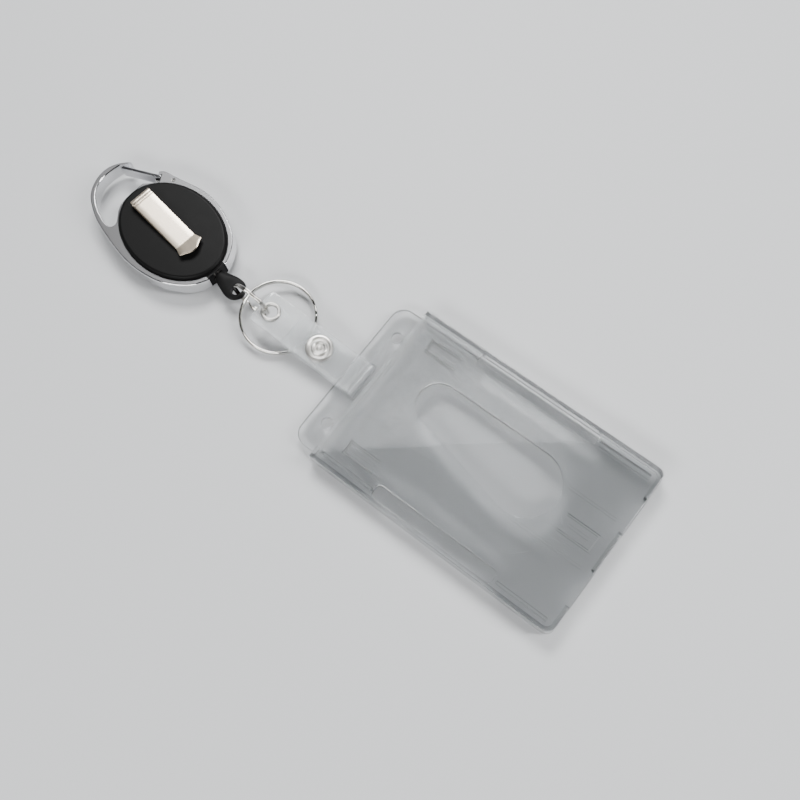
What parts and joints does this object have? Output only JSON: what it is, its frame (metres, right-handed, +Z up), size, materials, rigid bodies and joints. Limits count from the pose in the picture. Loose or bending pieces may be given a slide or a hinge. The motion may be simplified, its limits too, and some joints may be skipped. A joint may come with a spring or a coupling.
{
  "type": "retractable badge reel",
  "caption": "Badge reel with carabiner frame, belt clip and retracting cord, linked by split rings and a snap strap to a clear rigid card holder.",
  "frame": {"origin": "under the middle of the object's box, on the plane that it lies on", "axes": "+X from the reel along the strap to the card holder, +Y across, +Z up out of the resting plane, on the belt clip's side"},
  "size_m": [0.2234, 0.063, 0.0155],
  "materials": {
    "satin_steel": "satin chrome-plated die casting, polished rims",
    "gate_chrome": "polished chrome",
    "black_plastic": "fine matte moulded",
    "black_rubber": "matte soft plastic",
    "clip_nickel": "warm nickel plate, finely brushed",
    "nickel": "bright nickel plate",
    "spool_plastic": "moulded acetal",
    "spring_steel": "blued strip",
    "cord_nylon": "braided nylon",
    "clear_vinyl": "clear flexible vinyl",
    "clear_styrene": "clear rigid moulding"
  },
  "bodies": {
    "reel": {"carabiner_frame": "satin_steel", "gate_pin": "nickel", "gate_spring": "nickel", "front_cover": "black_plastic", "back_cover": "black_plastic", "cord_guide": "nickel", "belt_clip_base": "clip_nickel", "clip_rivet": "nickel", "cord_lead": "cord_nylon"},
    "gate": {"gate": "gate_chrome"},
    "clip_arm": {"belt_clip_arm": "clip_nickel"},
    "spool": {"spool": "spool_plastic", "mainspring": "spring_steel", "cord_winding": "cord_nylon"},
    "tip": {"cord_tip": "black_rubber", "cord_knot": "cord_nylon"},
    "small_ring": {"small_split_ring": "nickel"},
    "key_ring": {"key_ring": "nickel"},
    "strap": {"strap": "clear_vinyl", "grommet": "nickel", "grommet_washer": "nickel", "snap_cap": "nickel", "snap_socket": "nickel", "snap_stud": "nickel", "snap_post": "nickel"},
    "holder": {"holder_front_panel": "clear_styrene", "holder_back_panel": "clear_styrene"}
  },
  "joints": [
    {"name": "gate_hinge", "type": "hinge", "parent": "reel", "child": "gate", "pos_m": [-0.08761, 0.01851, 0.005], "axis": [0, 0, 1], "range_deg": [0, 20], "stiffness_Nm_per_rad": 0.012, "springref_deg": -20.05, "deforming": ["gate_spring"]},
    {"name": "clip_flex", "type": "hinge", "parent": "reel", "child": "clip_arm", "pos_m": [-0.09003, 0.00542, 0.0124], "axis": [-0.1478, -0.989, 0], "range_deg": [0, 14], "stiffness_Nm_per_rad": 0.35, "springref_deg": -2.86},
    {"name": "cord_pull", "type": "slide", "parent": "reel", "child": "tip", "axis": [0.9959, -0.0906, 0], "range_m": [0, 0.86], "stiffness_N_per_m": 0.7, "springref_m": -1.6},
    {"name": "spool_spin", "type": "hinge", "parent": "reel", "child": "spool", "pos_m": [-0.07784, 0.00336, 0.005], "axis": [0, 0, -1], "range_deg": [0, 3890]},
    {"name": "ring_swing", "type": "hinge", "parent": "tip", "child": "small_ring", "pos_m": [-0.04038, -0.0009, 0.005], "axis": [0, 0, 1], "range_deg": [-25, 20]},
    {"name": "key_ring_swing", "type": "hinge", "parent": "small_ring", "child": "key_ring", "pos_m": [-0.03726, 0, 0.0041], "axis": [0, 0, 1], "range_deg": [-8, 8]},
    {"name": "strap_swing", "type": "hinge", "parent": "small_ring", "child": "strap", "pos_m": [-0.02626, -0.0009, 0.0078], "axis": [0, 0, 1], "range_deg": [-20, 10]},
    {"name": "strap_bend", "type": "hinge", "parent": "strap", "child": "holder", "pos_m": [0.00419, -0.0005, 0.00325], "axis": [0, 1, 0], "range_deg": [-60, 60], "deforming": ["strap"]}
  ],
  "couplings": [
    {"joint": "spool_spin", "follows": "cord_pull", "rad_per_m": 78.74}
  ]
}
